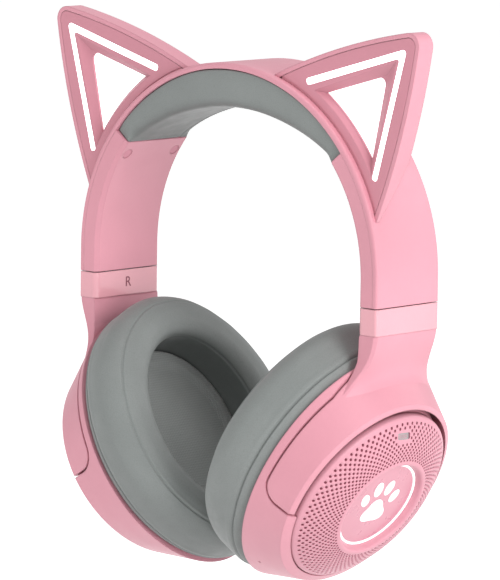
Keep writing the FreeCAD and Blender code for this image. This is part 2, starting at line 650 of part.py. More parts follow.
# ---------------------------------------------------------------- grille, badge, window
grille_geo = [line((31.0, -2.8), (32.5, -2.8)), line((32.5, -2.8), (32.5, -0.7)), arc3((32.5, -0.7), (32.2, 0.05), (31.5, 0.45)),
              arc3((31.5, 0.45), (25.2, 4.15), (18.9, 6.3)), arc3((18.9, 6.3), (17.9, 6.45), (17.1, 5.9)), line((17.1, 5.9), (16.45, 4.2)),
              line((16.45, 4.2), (16.45, 1.2)), line((16.45, 1.2), (17.6, 1.2)), line((17.6, 1.2), (17.9, 5.1)),
              arc3((17.9, 5.1), (24.7, 2.95), (31.0, -0.75)), line((31.0, -0.75), (31.0, -2.8))]
grille_r = turned("grille_plain", grille_geo, Placement())
wrot = Rotation(V(1, 0, 0), -28)
WC = (0.0, 27.3, 2.35)
window_hole = box("window_hole", "$window_width + 0.1", "$window_height + 0.1", 4.0, WC, wrot)
grille_l = turned("grille_windowed_base", grille_geo, Placement())
gl = cut("grille_left_cut", grille_l, window_hole)
gl.Placement = CUP
node(gl, "cup_grille_left")
grille_r.Placement = CUP
mirrored(grille_r, "cup_grille_right")
win = group("status_window_placed", box("window_block", "$window_width", "$window_height", 1.6, WC, wrot))
win.Placement = CUP
node(win, "status_window")

disc = group("badge_disc_placed", cylinder("badge_plate", "$badge_radius", "$badge_thickness", Placement(V(0, 0, 2.45), Rotation())))
disc.Placement = CUP
node(disc, "badge_disc_left")
mirrored(disc, "badge_disc_right")
guide_ring = turned("badge_light_left", [(0.0, 1.3), (16.35, 1.3), (16.35, 4.2), (15.6, 4.2), (15.6, 2.4), (0.0, 2.4)], CUP)
node(guide_ring, "badge_light_left")
mirrored(guide_ring, "badge_light_right")

# ---------------------------------------------------------------- baffle, driver, ear cushion
plate = cone_form("baffle_plate", (ZB + 0.02, 35.0, 41.65), (ZB + 1.6, 34.8, 40.85))
tools = [cylinder("driver_hole", 20.0, 8, Placement(V(0, 0, ZB - 3), Rotation()))]
for i, (x, y) in enumerate(screw_at):
    tools.append(cylinder("baffle_head_hole%d" % i, "$head_radius + 0.05", 2.0, Placement(V(x, y, ZB - 1.05), Rotation())))
    tools.append(cylinder("baffle_shank_hole%d" % i, 0.95, 6, Placement(V(x, y, ZB - 1), Rotation())))
baffle = cut("baffle_cut", plate, *tools)
baffle.Placement = CUP
node(baffle, "baffle_left")
mirrored(baffle, "baffle_right")
scr = []
for i, (x, y) in enumerate(screw_at):
    scr.append(fuse("cup_screw%d" % i, cylinder("cup_head%d" % i, "$head_radius", 0.85, Placement(V(x, y, ZB + 0.05), Rotation())),
                    cylinder("cup_shank%d" % i, "$screw_radius", 2.7, Placement(V(x, y, ZB + 0.1), Rotation()))))
scr = group("cup_screws_placed", *scr)
scr.Placement = CUP
node(scr, "cup_screws_left")
mirrored(scr, "cup_screws_right")
basket = turned("driver_basket_left", [(0.0, -9.6), (12.0, -9.6), (12.5, -11.2), (19.6, -12.4), (19.8, -13.9), (22.0, -13.9), (22.0, ZB + 1.65),
                                       (19.4, ZB + 1.65), (18.4, -13.6), (11.5, -12.6), (0.0, -12.4)], CUP)
node(basket, "driver_basket_left")
mirrored(basket, "driver_basket_right")
dia = turned("driver_diaphragm_left", [(0.0, -15.2), (5.0, -15.0), (8.0, -14.6), (12.0, -15.4), (16.0, -15.1), (19.3, ZB + 1.55), (19.3, ZB + 1.1),
                                       (16.0, -15.7), (12.0, -16.0), (8.0, -15.2), (5.0, -15.6), (0.0, -15.8)], CUP)
node(dia, "driver_diaphragm_left")
mirrored(dia, "driver_diaphragm_right")
ring = cut("cushion_ring_cut", cone_form("ring_plate", (ZB - 1.75, 36.0, 43.0), (ZB - 0.05, 36.0, 43.0)),
           cone_form("ring_open", (ZB - 4, 26.0, 29.5), (ZB + 2, 26.0, 29.5)))
ring.Placement = CUP
node(ring, "cushion_ring_left")
mirrored(ring, "cushion_ring_right")

cx, cv, cc = S("cushion_x"), S("cushion_v"), S("cushion_crest")
puff = loft("cushion_outer", [ellipse("cushion_e0", ZB - 0.25, 38.0, 44.2), ellipse("cushion_e1", ZB - 2.6, 39.6, "$cushion_v"),
                             ellipse("cushion_e2", cc, "$cushion_x", "$cushion_v")], True)
ear_hole = cone_form("cushion_hole", (cc - 4, "$opening_x", "$opening_v"), (ZB + 3, "$opening_x", "$opening_v"))
seat = cone_form("cushion_seat", (ZB - 1.8, 36.2, 43.2), (ZB + 3, 36.2, 43.2))
puff_cut = cut("cushion_cut", puff, ear_hole, seat)
doc.recompute()


def crest_round(name, base, outer, radius):
    f = doc.addObject("Part::Fillet", name)
    f.Base = base
    marks = []
    for i, e in enumerate(base.Shape.Edges, start=1):
        bb = e.BoundBox
        if abs(bb.ZMax - cc) < 1e-3 and abs(bb.ZMin - cc) < 1e-3 and (e.Length > 230) == outer:
            marks.append((i, radius, radius))
    f.Edges = marks
    doc.recompute()
    return f


fl = crest_round("cushion_round_outer", puff_cut, True, S("crest_outer_round"))
fl = crest_round("cushion_round_inner", fl, False, S("crest_inner_round"))
fl.Placement = CUP
# the two cushions lean on each other at the bottom, where the foam is pressed flat
flat = box("cushion_flat", 30, 120, 120, (S("touch_gap") - 15, 0, S("cup_z") - S("rest_height")))
pressed = cut("cushion_pressed", fl, flat)
node(pressed, "ear_cushion_left")
mirrored(pressed, "ear_cushion_right")
cloth = cone_form("cloth_plate", (ZB - 1.8 - S("cloth_thickness"), 27.3, 30.8), (ZB - 1.8, 27.3, 30.8))
cloth.Placement = CUP
node(cloth, "speaker_cloth_left")
mirrored(cloth, "speaker_cloth_right")

# ---------------------------------------------------------------- boards and battery
board = group("main_board_placed", box("board_plate", "$mainboard_width", "$mainboard_height", "$mainboard_thickness", (0, 0, -8.0)),
              box("board_chip", 9, 9, 1.1, (-4, 5, -6.7)), box("board_radio", 5, 7, 1.4, (9, -6, -6.55)))
board.Placement = CUP
node(board, "main_board")
cell = group("battery_placed", box("battery_block", "$battery_length", "$battery_width", "$battery_thickness", (0, 0, -7.0)))
cell.Placement = CUP
mirrored(cell, "battery")

# ---------------------------------------------------------------- check and export
doc.recompute()
names = set()
for o in doc.Objects:
    for s in o.State:
        if s in ("Invalid", "Error"):
            raise RuntimeError("%s %s" % (o.Name, o.State))
for o in nodes:
    if o.Label in names:
        raise RuntimeError("twice: " + o.Label)
    names.add(o.Label)
    if o.Shape.isNull() or not o.Shape.isValid() or not o.Shape.Solids:
        raise RuntimeError("bad shape: " + o.Label)
for o in nodes:
    o.Shape.exportStep("parts/%s.step" % o.Label)
    bb = o.Shape.BoundBox
    print("%-28s solids %d vol %9.1f  x %.1f..%.1f y %.1f..%.1f z %.1f..%.1f" % (
        o.Label, len(o.Shape.Solids), o.Shape.Volume, bb.XMin, bb.XMax, bb.YMin, bb.YMax, bb.ZMin, bb.ZMax))
print(len(nodes), "nodes")
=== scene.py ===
import bpy
import bmesh
import json
import math
from mathutils import Matrix, Vector, noise

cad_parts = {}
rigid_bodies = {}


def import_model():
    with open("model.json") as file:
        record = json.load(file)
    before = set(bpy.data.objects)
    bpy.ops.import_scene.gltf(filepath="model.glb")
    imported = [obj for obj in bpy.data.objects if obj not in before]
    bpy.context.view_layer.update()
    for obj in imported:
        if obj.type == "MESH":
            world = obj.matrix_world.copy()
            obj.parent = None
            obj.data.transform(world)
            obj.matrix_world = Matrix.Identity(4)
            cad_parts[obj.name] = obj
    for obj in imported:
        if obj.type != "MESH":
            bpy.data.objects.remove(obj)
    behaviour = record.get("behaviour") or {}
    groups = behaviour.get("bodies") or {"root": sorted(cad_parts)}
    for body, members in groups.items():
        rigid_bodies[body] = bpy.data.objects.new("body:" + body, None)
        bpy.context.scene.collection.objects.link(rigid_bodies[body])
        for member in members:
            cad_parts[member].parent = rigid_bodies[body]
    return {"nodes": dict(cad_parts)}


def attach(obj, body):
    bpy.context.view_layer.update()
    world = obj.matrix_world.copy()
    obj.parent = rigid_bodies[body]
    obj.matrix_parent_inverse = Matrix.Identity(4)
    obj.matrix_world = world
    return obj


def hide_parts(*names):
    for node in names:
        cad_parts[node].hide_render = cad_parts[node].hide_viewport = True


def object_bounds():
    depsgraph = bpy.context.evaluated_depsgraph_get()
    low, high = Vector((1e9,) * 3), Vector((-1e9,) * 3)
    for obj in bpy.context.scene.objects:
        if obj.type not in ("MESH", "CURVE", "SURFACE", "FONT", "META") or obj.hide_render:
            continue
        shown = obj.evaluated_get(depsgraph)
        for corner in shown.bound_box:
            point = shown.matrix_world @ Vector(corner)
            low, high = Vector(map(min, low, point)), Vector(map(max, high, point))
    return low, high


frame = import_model()
nodes = frame["nodes"]
cad_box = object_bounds()
scene = bpy.context.scene
MM = 0.001

# ------------------------------------------------------------------ frame numbers, as in the CAD
RISE = 60.3
BAND_C = 8.0 - RISE
TILT = math.radians(29.66)
CT, ST = math.cos(TILT), math.sin(TILT)
CUP_C = Vector((51.76, 0.0, -64.84 - RISE))
SIDES = (("left", 1.0), ("right", -1.0))


def cup_point(x, y, z, sg):
    """cup frame (back, up the face, out), in mm, to the row frame in metres"""
    p = CUP_C + Vector((y * ST + z * CT, x, y * CT - z * ST))
    return Vector((sg * p.x, p.y, p.z)) * MM


# ------------------------------------------------------------------ camera
AZ, EL, ROLL = math.radians(42.444), math.radians(7.4705), math.radians(0.8067)
back = Vector((math.sin(AZ) * math.cos(EL), -math.cos(AZ) * math.cos(EL), math.sin(EL)))
right = Vector((math.cos(AZ), math.sin(AZ), 0.0))
up = back.cross(right)
r2 = right * math.cos(ROLL) + up * math.sin(ROLL)
u2 = -right * math.sin(ROLL) + up * math.cos(ROLL)
cam_data = bpy.data.cameras.new("camera")
cam = bpy.data.objects.new("camera", cam_data)
scene.collection.objects.link(cam)
cam_data.lens = 4500.0 / 580.0 * 36.0
cam_data.sensor_width = 36.0
cam_data.clip_start = 0.05
cam_data.clip_end = 60.0
place = Vector((0, 0, -RISE)) * MM + back * 1.5 + (r2 * (-5.2047 / 3.0) + u2 * (-4.903 / 3.0)) * MM
cam.matrix_world = Matrix.Translation(place) @ Matrix((r2, u2, back)).transposed().to_4x4()
scene.camera = cam

# ------------------------------------------------------------------ stage and light
scene.view_settings.view_transform = "Standard"
world = bpy.data.worlds.new("studio")
scene.world = world
world.use_nodes = True
bg = world.node_tree.nodes["Background"]
bg.inputs["Color"].default_value = (1.0, 1.0, 1.0, 1)
bg.inputs["Strength"].default_value = 0.55


def area(name, loc, target, size, power, color=(1, 1, 1)):
    d = bpy.data.lights.new(name, "AREA")
    d.shape = "RECTANGLE"
    d.size, d.size_y = size
    d.energy = power
    d.color = color
    o = bpy.data.objects.new(name, d)
    scene.collection.objects.link(o)
    o.location = loc
    o.rotation_euler = (Vector(target) - Vector(loc)).to_track_quat("-Z", "Y").to_euler()
    return o


area("key", (-0.55, -1.1, 0.75), (0, 0, -0.05), (0.7, 0.7), 1.6)
area("side", (1.25, -0.25, 0.25), (0.03, 0, -0.08), (0.5, 0.9), 9.5)
area("rim", (0.5, 1.1, 0.5), (0, 0, -0.05), (0.8, 0.5), 2.5)
area("top", (0.0, -0.1, 1.2), (0, 0, -0.05), (0.8, 0.6), 4.5)


# ------------------------------------------------------------------ node helpers
class Nodes:
    def __init__(self, name):
        self.mat = bpy.data.materials.new(name)
        self.mat.use_nodes = True
        self.t = self.mat.node_tree
        self.t.nodes.clear()
        self.out = self.t.nodes.new("ShaderNodeOutputMaterial")
        self.b = self.t.nodes.new("ShaderNodeBsdfPrincipled")
        self.t.links.new(self.b.outputs["BSDF"], self.out.inputs["Surface"])
        tc = self.t.nodes.new("ShaderNodeTexCoord")
        self.co = tc.outputs["Object"]
        self.co_normal = tc.outputs["Normal"]

    def n(self, kind, **kw):
        x = self.t.nodes.new(kind)
        for k, v in kw.items():
            setattr(x, k, v)
        return x

    def link(self, a, b):
        self.t.links.new(a, b)

    def noise(self, scale, detail=3.0, rough=0.5, vec=None):
        x = self.n("ShaderNodeTexNoise")
        x.inputs["Scale"].default_value = scale
        x.inputs["Detail"].default_value = detail
        x.inputs["Roughness"].default_value = rough
        self.link(vec or self.co, x.inputs["Vector"])
        return x.outputs["Fac"]

    def voronoi(self, scale, feature="F1", out="Distance", vec=None):
        x = self.n("ShaderNodeTexVoronoi", feature=feature)
        x.inputs["Scale"].default_value = scale
        self.link(vec or self.co, x.inputs["Vector"])
        return x.outputs[out]

    def ramp(self, fac, stops):
        x = self.n("ShaderNodeValToRGB")
        while len(x.color_ramp.elements) < len(stops):
            x.color_ramp.elements.new(0.5)
        for e, (p, c) in zip(x.color_ramp.elements, stops):
            e.position = p
            e.color = (c[0], c[1], c[2], 1) if hasattr(c, "__len__") else (c, c, c, 1)
        self.link(fac, x.inputs["Fac"])
        return x.outputs["Color"]

    def math(self, op, a, b):
        x = self.n("ShaderNodeMath", operation=op)
        x.inputs[2].default_value = 0.5
        for i, v in enumerate((a, b)):
            if hasattr(v, "links"):
                self.link(v, x.inputs[i])
            else:
                x.inputs[i].default_value = v
        return x.outputs[0]

    def mix(self, fac, a, b, kind="MIX"):
        x = self.n("ShaderNodeMix", data_type="RGBA", blend_type=kind)
        for s, v in ((x.inputs["Factor"], fac), (x.inputs["A"], a), (x.inputs["B"], b)):
            if hasattr(v, "links"):
                self.link(v, s)
            elif hasattr(v, "__len__"):
                s.default_value = (v[0], v[1], v[2], 1)
            else:
                s.default_value = v
        return x.outputs["Result"]

    def bump(self, height, strength, distance, normal=None):
        x = self.n("ShaderNodeBump")
        x.inputs["Strength"].default_value = strength
        x.inputs["Distance"].default_value = distance
        self.link(height, x.inputs["Height"])
        if normal is not None:
            self.link(normal, x.inputs["Normal"])
        return x.outputs["Normal"]

    def under(self, c, low, front=1.0):
        """painted shade: the colour made a little deeper on faces turned to the ground, and on faces turned to the
        wearer's front, in place of the shade that falls on them
        """
        x = self.n("ShaderNodeSeparateXYZ")
        self.link(self.co_normal, x.inputs[0])
        # painted shade on faces turned to the ground
        down = self.ramp(self.math("MULTIPLY_ADD", x.outputs["Z"], 0.5), [(0.08, low), (0.5, 1.0)])
        c = self.mix(1.0, c, down, "MULTIPLY")
        if front < 1.0:
            # painted shade on faces turned to the wearer's front
            ahead = self.ramp(self.math("MULTIPLY_ADD", x.outputs["Y"], 0.5), [(0.05, front), (0.45, 1.0)])
            c = self.mix(1.0, c, ahead, "MULTIPLY")
        return c

    def bevel(self, radius):
        x = self.n("ShaderNodeBevel", samples=4)
        x.inputs["Radius"].default_value = radius
        return x.outputs["Normal"]


def plastic(name, color, rough, variation=0.04, grain=2600.0, grain_depth=0.00003, coat=0.0, bevel=0.0006, spec=0.4, sheen=0.0):
    m = Nodes(name)
    broad = m.noise(28.0, 3.0)
    fine = m.noise(900.0, 2.0)
    dark = tuple(c * (1 - variation) for c in color)
    lite = tuple(min(1.0, c * (1 + variation)) for c in color)
    c = m.ramp(broad, [(0.32, dark), (0.68, lite)])
    c = m.mix(0.035, c, m.ramp(fine, [(0.4, tuple(x * 0.8 for x in color)), (0.6, lite)]))
    # painted shade: the pink made deeper on faces turned down (to 0.74) and on faces turned to the front (to 0.93)
    c = m.under(c, 0.74, 0.93)
    m.link(c, m.b.inputs["Base Color"])
    m.link(m.ramp(m.noise(160.0, 4.0), [(0.3, rough - 0.05), (0.7, rough + 0.05)]), m.b.inputs["Roughness"])
    m.b.inputs["Specular IOR Level"].default_value = spec
    m.b.inputs["Coat Weight"].default_value = coat
    m.b.inputs["Coat Roughness"].default_value = 0.12
    m.b.inputs["Sheen Weight"].default_value = sheen
    m.b.inputs["Sheen Roughness"].default_value = 0.5
    base = m.bevel(bevel) if bevel else None
    m.link(m.bump(m.noise(grain, 2.0, 0.6), 0.25, grain_depth, base), m.b.inputs["Normal"])
    return m.mat


PINK = (0.70, 0.305, 0.372)
# the glossy slider collars' own pink, lightened with painted reflection that stands for their glossy sheen
PINK_WITH_PAINTED_REFLECTION = (0.78, 0.36, 0.415)
shell_mat = plastic("pink_shell", PINK, 0.46, sheen=0.08)
trim_mat = plastic("pink_trim", (0.67, 0.30, 0.367), 0.4, bevel=0.0)
ear_face_mat = plastic("pink_ear_face", (0.62, 0.255, 0.315), 0.45)
gloss_mat = plastic("pink_gloss", PINK_WITH_PAINTED_REFLECTION, 0.16, grain=1400.0, grain_depth=0.00001, coat=0.6, spec=0.6)
disc_mat = plastic("badge_gloss", (0.64, 0.27, 0.34), 0.3, grain=1400.0, grain_depth=0.00001, coat=0.25, spec=0.5, bevel=0.0)
plug_mat = plastic("pink_plug", (0.66, 0.27, 0.34), 0.6)
button_mat = plastic("pink_button", (0.66, 0.27, 0.345), 0.38)
dark_mat = plastic("dark_plastic", (0.05, 0.05, 0.052), 0.5)
# dark pink of the grille holes' inner walls and floors: painted shade inside the holes, standing for the dark space
# behind the grille
grille_hole_shade_mat = plastic("grille_hole_painted_shade", (0.30, 0.075, 0.11), 0.8, bevel=0.0)
window_mat = plastic("smoked_window", (0.34, 0.33, 0.33), 0.2, coat=0.3)
board_mat = plastic("circuit_board", (0.03, 0.12, 0.05), 0.4, grain=3000.0)
cell_mat = plastic("cell_wrap", (0.03, 0.08, 0.3), 0.3, coat=0.3)


def metal(name, color, rough):
    m = Nodes(name)
    stretch = m.n("ShaderNodeMapping")
    stretch.inputs["Scale"].default_value = (60.0, 60.0, 3000.0)
    m.link(m.co, stretch.inputs["Vector"])
    streak = m.noise(1.0, 4.0, 0.6, stretch.outputs["Vector"])
    m.link(m.ramp(streak, [(0.3, tuple(c * 0.8 for c in color)), (0.7, color)]), m.b.inputs["Base Color"])
    m.link(m.ramp(streak, [(0.3, rough - 0.07), (0.7, rough + 0.1)]), m.b.inputs["Roughness"])
    m.b.inputs["Metallic"].default_value = 1.0
    m.link(m.bump(streak, 0.2, 0.00002, m.bevel(0.0003)), m.b.inputs["Normal"])
    return m.mat


steel_mat = metal("steel", (0.62, 0.62, 0.64), 0.32)


def leatherette(name, color, rough=0.52):
    m = Nodes(name)
    cells = m.voronoi(1500.0)
    edges = m.voronoi(1500.0, "DISTANCE_TO_EDGE")
    broad = m.noise(35.0, 3.0)
    c = m.ramp(broad, [(0.3, tuple(x * 0.93 for x in color)), (0.7, tuple(x * 1.06 for x in color))])
    c = m.mix(m.ramp(edges, [(0.0, 0.22), (0.12, 0.0)]), c, tuple(x * 0.55 for x in color))
    # painted shade: the leatherette made deeper on faces turned down, such as the crown pad's underside
    c = m.under(c, 0.60)
    m.link(c, m.b.inputs["Base Color"])
    m.link(m.ramp(m.noise(220.0, 3.0), [(0.3, rough - 0.07), (0.7, rough + 0.08)]), m.b.inputs["Roughness"])
    m.b.inputs["Specular IOR Level"].default_value = 0.35
    m.b.inputs["Sheen Weight"].default_value = 0.15
    m.b.inputs["Sheen Roughness"].default_value = 0.4
    n1 = m.bump(m.noise(420.0, 3.0), 0.12, 0.00025)
    n2 = m.bump(edges, 0.18, 0.00006, n1)
    m.link(m.bump(cells, 0.08, 0.00004, n2), m.b.inputs["Normal"])
    return m.mat


leather_mat = leatherette("grey_leatherette", (0.222, 0.239, 0.232))


def cloth(name, color):
    m = Nodes(name)
    w = m.n("ShaderNodeTexWave", wave_type="BANDS", bands_direction="Y")
    w.inputs["Scale"].default_value = 420.0
    m.link(m.co, w.inputs["Vector"])
    v = m.n("ShaderNodeTexWave", wave_type="BANDS", bands_direction="Z")
    v.inputs["Scale"].default_value = 420.0
    m.link(m.co, v.inputs["Vector"])
    weave = m.math("MULTIPLY", w.outputs["Fac"], v.outputs["Fac"])
    c = m.ramp(weave, [(0.0, tuple(x * 0.82 for x in color)), (0.6, color)])
    c = m.mix(m.ramp(m.noise(60.0, 3.0), [(0.3, 0.0), (0.7, 0.3)]), c, tuple(x * 0.7 for x in color))
    m.link(c, m.b.inputs["Base Color"])
    m.link(m.ramp(m.noise(500.0, 2.0), [(0.3, 0.8), (0.7, 0.95)]), m.b.inputs["Roughness"])
    m.b.inputs["Sheen Weight"].default_value = 0.4
    m.link(m.bump(weave, 0.5, 0.0002), m.b.inputs["Normal"])
    return m.mat


cloth_mat = cloth("grey_cloth", (0.40, 0.425, 0.415))


def glow(name, strength, tint=(1.0, 0.99, 0.99)):
    m = Nodes(name)
    soft = m.noise(90.0, 2.0)
    m.link(m.ramp(soft, [(0.3, tuple(t * 0.93 for t in tint)), (0.7, tint)]), m.b.inputs["Base Color"])
    m.link(m.ramp(soft, [(0.3, tuple(t * 0.95 for t in tint)), (0.7, tint)]), m.b.inputs["Emission Color"])
    m.b.inputs["Emission Strength"].default_value = strength
    m.link(m.ramp(m.noise(500.0, 2.0), [(0.3, 0.3), (0.7, 0.42)]), m.b.inputs["Roughness"])
    m.link(m.bump(m.noise(1800.0, 2.0), 0.15, 0.00002), m.b.inputs["Normal"])
    return m.mat


light_mat = glow("light_guide", 1.8)
ring_mat = glow("badge_light", 0.4)
panel_mat = glow("light_panel", 0.9)
emblem_mat = glow("emblem_light", 0.22, (0.88, 0.80, 0.81))

CAD_MATS = {
    "headband_outer_shell": shell_mat, "arm_inner_cover": shell_mat, "cat_ear_shell": shell_mat, "yoke": shell_mat,
    "cup_housing": shell_mat, "cat_ear_bezel": ear_face_mat, "cup_grille": trim_mat, "slider_collar": gloss_mat,
    "badge_disc": disc_mat, "arm_screw_plugs": plug_mat, "crown_pad": leather_mat, "ear_cushion": leather_mat,
    "speaker_cloth": cloth_mat, "cat_ear_light": light_mat, "cat_ear_panel": panel_mat, "badge_light": ring_mat, "cat_ear_led_board": board_mat,
    "main_board": board_mat, "headband_spring_band": steel_mat, "slider_strip": steel_mat, "detent_spring": steel_mat,
    "pivot_pins": steel_mat, "arm_cover_screws": steel_mat, "cup_screws": steel_mat, "usb_c_port": steel_mat,
    "microphone": steel_mat, "crown_pad_base": dark_mat, "slider_guide": dark_mat, "baffle": dark_mat,
    "driver_basket": dark_mat, "cushion_ring": dark_mat, "driver_diaphragm": dark_mat, "power_button": button_mat,
    "volume_up_button": button_mat, "volume_down_button": button_mat, "status_window": window_mat, "battery": cell_mat,
}
for name, obj in nodes.items():
    key = name
    for s in ("_left", "_right"):
        if key.endswith(s):
            key = key[:-len(s)]
    mat = CAD_MATS[key]
    if not obj.material_slots:
        obj.data.materials.append(mat)
    for sl in obj.material_slots:
        sl.material = mat


# ------------------------------------------------------------------ mesh helpers
def new_mesh(name, verts, faces, mats, idx=None, smooth=True, flip=False):
    me = bpy.data.meshes.new(name)
    if flip:
        faces = [tuple(reversed(f)) for f in faces]
    me.from_pydata([tuple(v) for v in verts], [], faces)
    for m in mats:
        me.materials.append(m)
    if idx is not None:
        me.polygons.foreach_set("material_index", idx)
    if smooth:
        me.polygons.foreach_set("use_smooth", [True] * len(me.polygons))
    me.update()
    ob = bpy.data.objects.new(name, me)
    scene.collection.objects.link(ob)
    return ob


def active(ob):
    for o in bpy.context.view_layer.objects:
        o.select_set(False)
    ob.select_set(True)
    bpy.context.view_layer.objects.active = ob


def apply_all(ob):
    dg = bpy.context.evaluated_depsgraph_get()
    me = bpy.data.meshes.new_from_object(ob.evaluated_get(dg))
    ob.modifiers.clear()
    ob.data = me


# ------------------------------------------------------------------ perforated grille
def dome(r):
    """height of the grille's face over its rim, mm"""
    k = (r - 18.9) / (31.5 - 18.9)
    return 6.3 * (1 - k) + 0.45 * k + 4 * 0.775 * k * (1 - k)


def grille(side, sg):
    n = 78
    rings = 13
    seg = 2 * n
    r_in, r_out = 18.95, 31.15
    # ring edges grow with radius so that the holes keep their spacing's look
    edges = []
    g = 1.022
    total = sum(g ** i for i in range(rings))
    r = r_in
    edges.append(r)
    for i in range(rings):
        r += (r_out - r_in) * g ** i / total
        edges.append(r)
    verts, faces, idx = [], [], []

    def ring_verts(r, h):
        start = len(verts)
        for j in range(seg):
            a = 2 * math.pi * j / seg
            verts.append(cup_point(r * math.cos(a), r * math.sin(a), h, sg))
        return start

    def band(a, b, m=0):
        for j in range(seg):
            k = (j + 1) % seg
            faces.append((a + j, a + k, b + k, b + j))
            idx.append(m)

    prev = ring_verts(16.45, 1.3)
    for r, h in ((16.45, 3.9), (16.5, 4.25), (16.78, 5.0), (17.05, 5.7), (17.2, 6.02), (17.45, 6.28), (17.8, 6.43), (18.2, 6.45), (18.6, 6.38)):
        cur = ring_verts(r, h)
        band(prev, cur)
        prev = cur
    rows = [ring_verts(e, dome(e)) for e in edges]
    band(prev, rows[0])
    for i in range(rings):
        lo, hi = rows[i], rows[i + 1]
        rc = (edges[i] + edges[i + 1]) / 2
        rad = 0.245 * (edges[i + 1] - edges[i]) + 0.18
        for c in range(n):
            j0 = 2 * c + (i % 2)
            js = [(j0 + k) % seg for k in range(3)]
            ac = 2 * math.pi * (j0 + 1) / seg
            cx, cy = rc * math.cos(ac), rc * math.sin(ac)
            loop = [lo + js[0], lo + js[1], lo + js[2], hi + js[2], hi + js[1], hi + js[0]]
            if side == "left" and abs(cx + 1.7) < 3.7 and abs(cy - 27.3) < 2.0:
                faces.append(tuple(loop))
                idx.append(0)
                continue
            ca, sa = math.cos(ac), math.sin(ac)
            holes = []
            for depth in (0.0, 0.12, 0.9):
                start = len(verts)
                rr = rad * (1.0 if depth else 1.12)
                for q in range(12):
                    # the 12 points start at the inner left corner and go round with the cell's outline
                    b = math.radians(-135 + 30 * q) - math.radians(0)
                    dr, dt = rr * math.sin(b), rr * math.cos(b)
                    x = (rc + dr) * ca - dt * sa
                    y = (rc + dr) * sa + dt * ca
                    verts.append(cup_point(x, y, dome(rc + dr) - depth, sg))
                holes.append(start)
            h0, h1, h2 = holes
            for e in range(6):
                a, b2 = loop[e], loop[(e + 1) % 6]
                faces.append((a, b2, h0 + (2 * e + 2) % 12, h0 + (2 * e + 1) % 12, h0 + 2 * e))
                idx.append(0)
            # the holes' walls below 0.12 mm and their floors take the second material: painted shade inside the holes
            for q in range(12):
                k = (q + 1) % 12
                faces.append((h0 + q, h0 + k, h1 + k, h1 + q))
                idx.append(0)
                faces.append((h1 + q, h1 + k, h2 + k, h2 + q))
                idx.append(1)
            faces.append(tuple(h2 + q for q in range(12)))
            idx.append(1)
    prev = rows[-1]
    for r, h in ((31.5, 0.45), (31.85, 0.26), (32.15, 0.02), (32.38, -0.3), (32.48, -0.7), (32.5, -1.2), (32.5, -2.8), (31.2, -2.8)):
        cur = ring_verts(r, h)
        band(prev, cur)
        prev = cur
    ob = new_mesh("grille_perforated_" + side, verts, faces, [trim_mat, grille_hole_shade_mat], idx, flip=sg < 0)
    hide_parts("cup_grille_" + side)
    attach(ob, "cup_" + side)
    return ob


for side, sg in SIDES:
    grille(side, sg)


# ------------------------------------------------------------------ badge: a paw print on the disc
def blob(outline, h0, h1, verts, faces, sg, inset=0.12):
    n = len(outline)
    cx = sum(p[0] for p in outline) / n
    cy = sum(p[1] for p in outline) / n
    rows = []
    for k, h in ((1.0, h0), (1.0, h1 - 0.06), (None, h1)):
        start = len(verts)
        for x, y in outline:
            if k is None:
                d = math.hypot(x - cx, y - cy)
                f = (d - inset) / d
            else:
                f = k
            verts.append(cup_point(cx + (x - cx) * f, cy + (y - cy) * f, h, sg))
        rows.append(start)
    for a, b in zip(rows, rows[1:]):
        for j in range(n):
            k = (j + 1) % n
            faces.append((a + j, a + k, b + k, b + j))
    faces.append(tuple(rows[-1] + j for j in range(n)))


def paw(side, sg):
    verts, faces = [], []
    parts = []
    main = []
    for j in range(48):
        a = 2 * math.pi * j / 48
        r = 3.9 * (1 + 0.16 * math.cos(3 * (a - math.pi / 2)) * 1.0) * (1.0 if math.sin(a) > -0.2 else 1.0)
        main.append((r * 1.1 * math.cos(a), -2.6 + r * 0.92 * math.sin(a)))
    parts.append(main)
    for cx, cy, rx, ry, rot in ((-5.9, 2.0, 1.5, 2.2, 24), (-2.2, 5.2, 1.6, 2.5, 8), (2.2, 5.2, 1.6, 2.5, -8), (5.9, 2.0, 1.5, 2.2, -24)):
        o = []
        for j in range(28):
            a = 2 * math.pi * j / 28
            x, y = rx * math.cos(a), ry * math.sin(a)
            c, s = math.cos(math.radians(rot)), math.sin(math.radians(rot))
            o.append((cx + x * c - y * s, cy + x * s + y * c))
        parts.append(o)
    for o in parts:
        o = [(x * 1.2, y * 1.2) for x, y in o]
        blob(o, 3.85, 4.12, verts, faces, sg)
    ob = new_mesh("badge_paw_" + side, verts, faces, [emblem_mat], flip=sg < 0, smooth=False)
    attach(ob, "cup_" + side)


for side, sg in SIDES:
    paw(side, sg)


